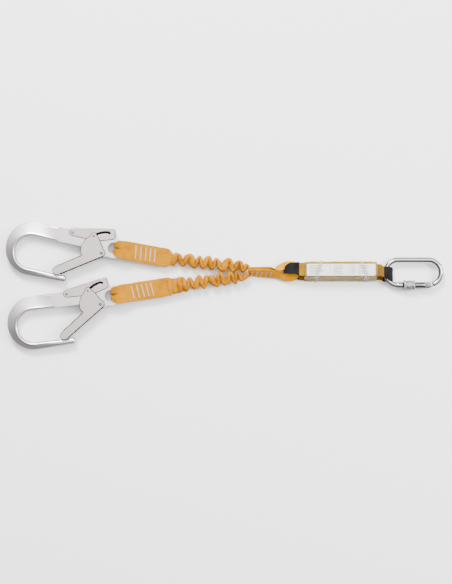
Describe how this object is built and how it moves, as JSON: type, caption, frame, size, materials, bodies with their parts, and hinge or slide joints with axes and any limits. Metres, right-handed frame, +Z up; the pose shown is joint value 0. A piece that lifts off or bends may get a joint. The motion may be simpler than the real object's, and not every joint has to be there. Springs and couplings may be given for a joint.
{
  "type": "shock absorbing lanyard",
  "caption": "Twin elastic leg fall arrest lanyard: scaffold hooks, webbing yoke, tear absorber pack in clear film and an oval screwgate connector, laid out flat.",
  "frame": {"origin": "on the ground under the middle of the whole laid out lanyard", "axes": "+X from the hooks to the screwgate connector, +Y across, +Z up from the surface it lies on"},
  "size_m": [0.8104, 0.2352, 0.0295],
  "materials": {
    "webbing": "woven polyester",
    "elastic": "gathered tubular webbing",
    "thread": "sewn bar tacks",
    "protector_thread": "dark sewing thread",
    "rubber_core": "flat elastic",
    "protector": "matt black woven sleeve",
    "film": "clear shrink film",
    "label": "plain printed label",
    "hook_metal": "forged, satin",
    "hook_plate": "pressed plate, satin",
    "rivet_steel": "rivet head",
    "spring_wire": "drawn wire",
    "steel": "polished",
    "sleeve_metal": "knurled"
  },
  "bodies": {
    "absorber": {"absorber_tear_webbing": "webbing", "absorber_film_cover": "film", "absorber_label": "label", "absorber_left_band": "film", "absorber_right_band": "film", "absorber_left_eye_strap": "webbing", "absorber_left_eye_protector": "protector", "absorber_right_eye_strap": "webbing", "absorber_right_eye_protector": "protector", "absorber_right_eye_stitching": "protector_thread"},
    "yoke": {"yoke_webbing": "webbing", "yoke_bar_tacks": "thread", "leg_a_elastic_sleeve": "elastic", "leg_a_elastic_core": "rubber_core", "leg_b_elastic_sleeve": "elastic", "leg_b_elastic_core": "rubber_core"},
    "carabiner": {"carabiner_body": "steel", "carabiner_gate_rivet": "steel"},
    "carabiner_gate": {"carabiner_gate": "steel", "carabiner_latch_pin": "steel", "carabiner_gate_spring": "spring_wire", "carabiner_gate_plunger": "steel"},
    "carabiner_sleeve": {"carabiner_screw_sleeve": "sleeve_metal"},
    "leg_a_end": {"leg_a_end_loop": "webbing", "leg_a_bar_tacks": "thread"},
    "hook_a": {"hook_a_body": "hook_metal", "hook_a_gate_pivot_rivet": "rivet_steel", "hook_a_lever_pivot_rivet": "rivet_steel", "hook_a_lever_spring": "spring_wire"},
    "hook_a_gate": {"hook_a_gate": "hook_plate", "hook_a_lock_pin": "rivet_steel", "hook_a_gate_spring": "spring_wire"},
    "hook_a_lever": {"hook_a_lever": "hook_plate"},
    "leg_b_end": {"leg_b_end_loop": "webbing", "leg_b_bar_tacks": "thread"},
    "hook_b": {"hook_b_body": "hook_metal", "hook_b_gate_pivot_rivet": "rivet_steel", "hook_b_lever_pivot_rivet": "rivet_steel", "hook_b_lever_spring": "spring_wire"},
    "hook_b_gate": {"hook_b_gate": "hook_plate", "hook_b_lock_pin": "rivet_steel", "hook_b_gate_spring": "spring_wire"},
    "hook_b_lever": {"hook_b_lever": "hook_plate"}
  },
  "joints": [
    {"name": "yoke_swing", "type": "hinge", "parent": "absorber", "child": "yoke", "pos_m": [0.1103, 0.03117, 0.014], "axis": [0, 0, 1], "range_deg": [-12, 12]},
    {"name": "leg_a_stretch", "type": "slide", "parent": "yoke", "child": "leg_a_end", "axis": [-0.994, 0.1096, 0], "range_m": [0, 0.25], "stiffness_N_per_m": 60, "deforming": ["leg_a_elastic_sleeve", "leg_a_elastic_core"]},
    {"name": "hook_a_swing", "type": "hinge", "parent": "leg_a_end", "child": "hook_a", "pos_m": [-0.19181, 0.06724, 0.013], "axis": [0.1788, 0.9839, 0], "range_deg": [-90, 90]},
    {"name": "hook_a_gate_turn", "type": "hinge", "parent": "hook_a", "child": "hook_a_gate", "pos_m": [-0.22699, 0.06103, 0.013], "axis": [0, 0, -1], "range_deg": [0, 40], "stiffness_Nm_per_rad": 0.3, "springref_deg": -40.11},
    {"name": "hook_a_lever_turn", "type": "hinge", "parent": "hook_a", "child": "hook_a_lever", "pos_m": [-0.28031, 0.09928, 0.013], "axis": [0, 0, -1], "range_deg": [0, 4], "deforming": ["hook_a_lever_spring"]},
    {"name": "leg_b_stretch", "type": "slide", "parent": "yoke", "child": "leg_b_end", "axis": [-0.9905, -0.1372, 0], "range_m": [0, 0.25], "stiffness_N_per_m": 60, "deforming": ["leg_b_elastic_sleeve", "leg_b_elastic_core"]},
    {"name": "hook_b_swing", "type": "hinge", "parent": "leg_b_end", "child": "hook_b", "pos_m": [-0.19726, -0.01592, 0.013], "axis": [0.1547, -0.988, 0], "range_deg": [-90, 90]},
    {"name": "hook_b_gate_turn", "type": "hinge", "parent": "hook_b", "child": "hook_b_gate", "pos_m": [-0.22844, -0.03336, 0.013], "axis": [0, 0, -1], "range_deg": [0, 40], "stiffness_Nm_per_rad": 0.3, "springref_deg": -40.11},
    {"name": "hook_b_lever_turn", "type": "hinge", "parent": "hook_b", "child": "hook_b_lever", "pos_m": [-0.29137, -0.01477, 0.013], "axis": [0, 0, -1], "range_deg": [0, 4], "deforming": ["hook_b_lever_spring"]},
    {"name": "carabiner_swing", "type": "hinge", "parent": "absorber", "child": "carabiner", "pos_m": [0.2997, 0.02297, 0.0118], "axis": [0, 1, 0], "range_deg": [-60, 60]},
    {"name": "carabiner_gate_turn", "type": "hinge", "parent": "carabiner", "child": "carabiner_gate", "pos_m": [0.3773, 0.00147, 0.0118], "axis": [0, 0, -1], "range_deg": [0, 26], "stiffness_Nm_per_rad": 0.2, "springref_deg": -28.65},
    {"name": "carabiner_sleeve_travel", "type": "slide", "parent": "carabiner_gate", "child": "carabiner_sleeve", "axis": [1, 0, 0], "range_m": [-0.016, 0]}
  ],
  "couplings": [
    {"joint": "hook_a_lever_turn", "follows": "hook_a_gate_turn", "ratio": 0.1},
    {"joint": "hook_b_lever_turn", "follows": "hook_b_gate_turn", "ratio": 0.1}
  ]
}
